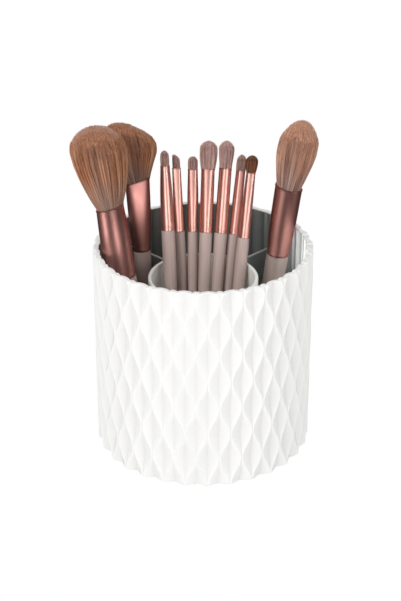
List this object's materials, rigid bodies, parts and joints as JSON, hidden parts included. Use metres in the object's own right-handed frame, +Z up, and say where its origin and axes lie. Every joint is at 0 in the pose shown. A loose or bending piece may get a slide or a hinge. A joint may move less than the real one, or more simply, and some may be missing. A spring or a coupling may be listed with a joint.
{
  "type": "rotating makeup brush holder",
  "caption": "Round turntable brush holder with a leaf-patterned shell, centre cup and divided compartments, with makeup brushes that lift out.",
  "frame": {"origin": "centre of the foot pad's flat underside, on the turntable's axis", "axes": "+Z up along the turntable's axis, -Y to the front, +X to the right"},
  "size_m": [0.1383, 0.125, 0.1965],
  "materials": {
    "shell_white": "satin moulded",
    "inner_white": "satin moulded",
    "base_grey": "matte moulded",
    "foot_rubber": "matte",
    "race_steel": "satin",
    "ball_steel": "polished",
    "handle_taupe": "satin lacquer in taupe",
    "ferrule_rose": "polished rose-gold anodised",
    "ferrule_copper": "satin copper anodised",
    "hair_brown": "soft synthetic fibre",
    "hair_grey": "soft synthetic fibre",
    "hair_dark": "soft synthetic fibre"
  },
  "bodies": {
    "base": {"foot_pad": "foot_rubber", "base_plate": "base_grey", "lower_race": "race_steel"},
    "ball_ring": {"ball_cage": "base_grey", "ball_1": "ball_steel", "ball_2": "ball_steel", "ball_3": "ball_steel", "ball_4": "ball_steel", "ball_5": "ball_steel", "ball_6": "ball_steel", "ball_7": "ball_steel", "ball_8": "ball_steel"},
    "turntable": {"shell": "shell_white", "turntable_floor": "inner_white", "centre_cup": "inner_white", "divider_right_rear": "inner_white", "divider_left_rear": "inner_white", "divider_left_front": "inner_white", "divider_right_front": "inner_white", "upper_race": "race_steel", "retaining_washer": "race_steel", "pivot_screw": "race_steel"},
    "brush_pencil": {"pencil_handle": "handle_taupe", "pencil_ferrule": "ferrule_rose", "pencil_bristles": "hair_grey"},
    "brush_brow": {"brow_handle": "handle_taupe", "brow_ferrule": "ferrule_rose", "brow_bristles": "hair_grey"},
    "brush_shader": {"shader_handle": "handle_taupe", "shader_ferrule": "ferrule_rose", "shader_bristles": "hair_grey"},
    "brush_blender": {"blender_handle": "handle_taupe", "blender_ferrule": "ferrule_rose", "blender_bristles": "hair_grey"},
    "brush_crease": {"crease_handle": "handle_taupe", "crease_ferrule": "ferrule_rose", "crease_bristles": "hair_grey"},
    "brush_smudger": {"smudger_handle": "handle_taupe", "smudger_ferrule": "ferrule_rose", "smudger_bristles": "hair_grey"},
    "brush_concealer": {"concealer_handle": "handle_taupe", "concealer_ferrule": "ferrule_rose", "concealer_bristles": "hair_dark"},
    "brush_powder": {"powder_handle": "handle_taupe", "powder_ferrule": "ferrule_copper", "powder_bristles": "hair_brown"},
    "brush_contour": {"contour_handle": "handle_taupe", "contour_ferrule": "ferrule_copper", "contour_bristles": "hair_brown"},
    "brush_highlighter": {"highlighter_handle": "handle_taupe", "highlighter_ferrule": "ferrule_copper", "highlighter_bristles": "hair_brown"}
  },
  "joints": [
    {"name": "turntable_spin", "type": "hinge", "parent": "base", "child": "turntable", "pos_m": [0, 0, 0.0082], "axis": [0, 0, 1], "continuous": true},
    {"name": "ball_ring_spin", "type": "hinge", "parent": "base", "child": "ball_ring", "pos_m": [0, 0, 0.0082], "axis": [0, 0, 1], "continuous": true},
    {"name": "pencil_lift", "type": "slide", "parent": "turntable", "child": "brush_pencil", "axis": [-0.0435, 0.2602, 0.9646], "range_m": [0, 0.18]},
    {"name": "brow_lift", "type": "slide", "parent": "turntable", "child": "brush_brow", "axis": [-0.0428, 0.2472, 0.968], "range_m": [0, 0.18]},
    {"name": "shader_lift", "type": "slide", "parent": "turntable", "child": "brush_shader", "axis": [-0.001, 0.3223, 0.9466], "range_m": [0, 0.18]},
    {"name": "blender_lift", "type": "slide", "parent": "turntable", "child": "brush_blender", "axis": [0.0332, 0.3407, 0.9396], "range_m": [0, 0.18]},
    {"name": "crease_lift", "type": "slide", "parent": "turntable", "child": "brush_crease", "axis": [0.07, 0.3178, 0.9456], "range_m": [0, 0.18]},
    {"name": "smudger_lift", "type": "slide", "parent": "turntable", "child": "brush_smudger", "axis": [0.1008, 0.2621, 0.9598], "range_m": [0, 0.18]},
    {"name": "concealer_lift", "type": "slide", "parent": "turntable", "child": "brush_concealer", "axis": [0.1028, 0.264, 0.959], "range_m": [0, 0.18]},
    {"name": "powder_lift", "type": "slide", "parent": "turntable", "child": "brush_powder", "axis": [-0.1455, 0.1216, 0.9819], "range_m": [0, 0.18]},
    {"name": "contour_lift", "type": "slide", "parent": "turntable", "child": "brush_contour", "axis": [-0.0506, 0.088, 0.9948], "range_m": [0, 0.18]},
    {"name": "highlighter_lift", "type": "slide", "parent": "turntable", "child": "brush_highlighter", "axis": [0.1283, 0.0055, 0.9917], "range_m": [0, 0.18]}
  ],
  "couplings": [
    {"joint": "ball_ring_spin", "follows": "turntable_spin", "ratio": 0.5}
  ]
}
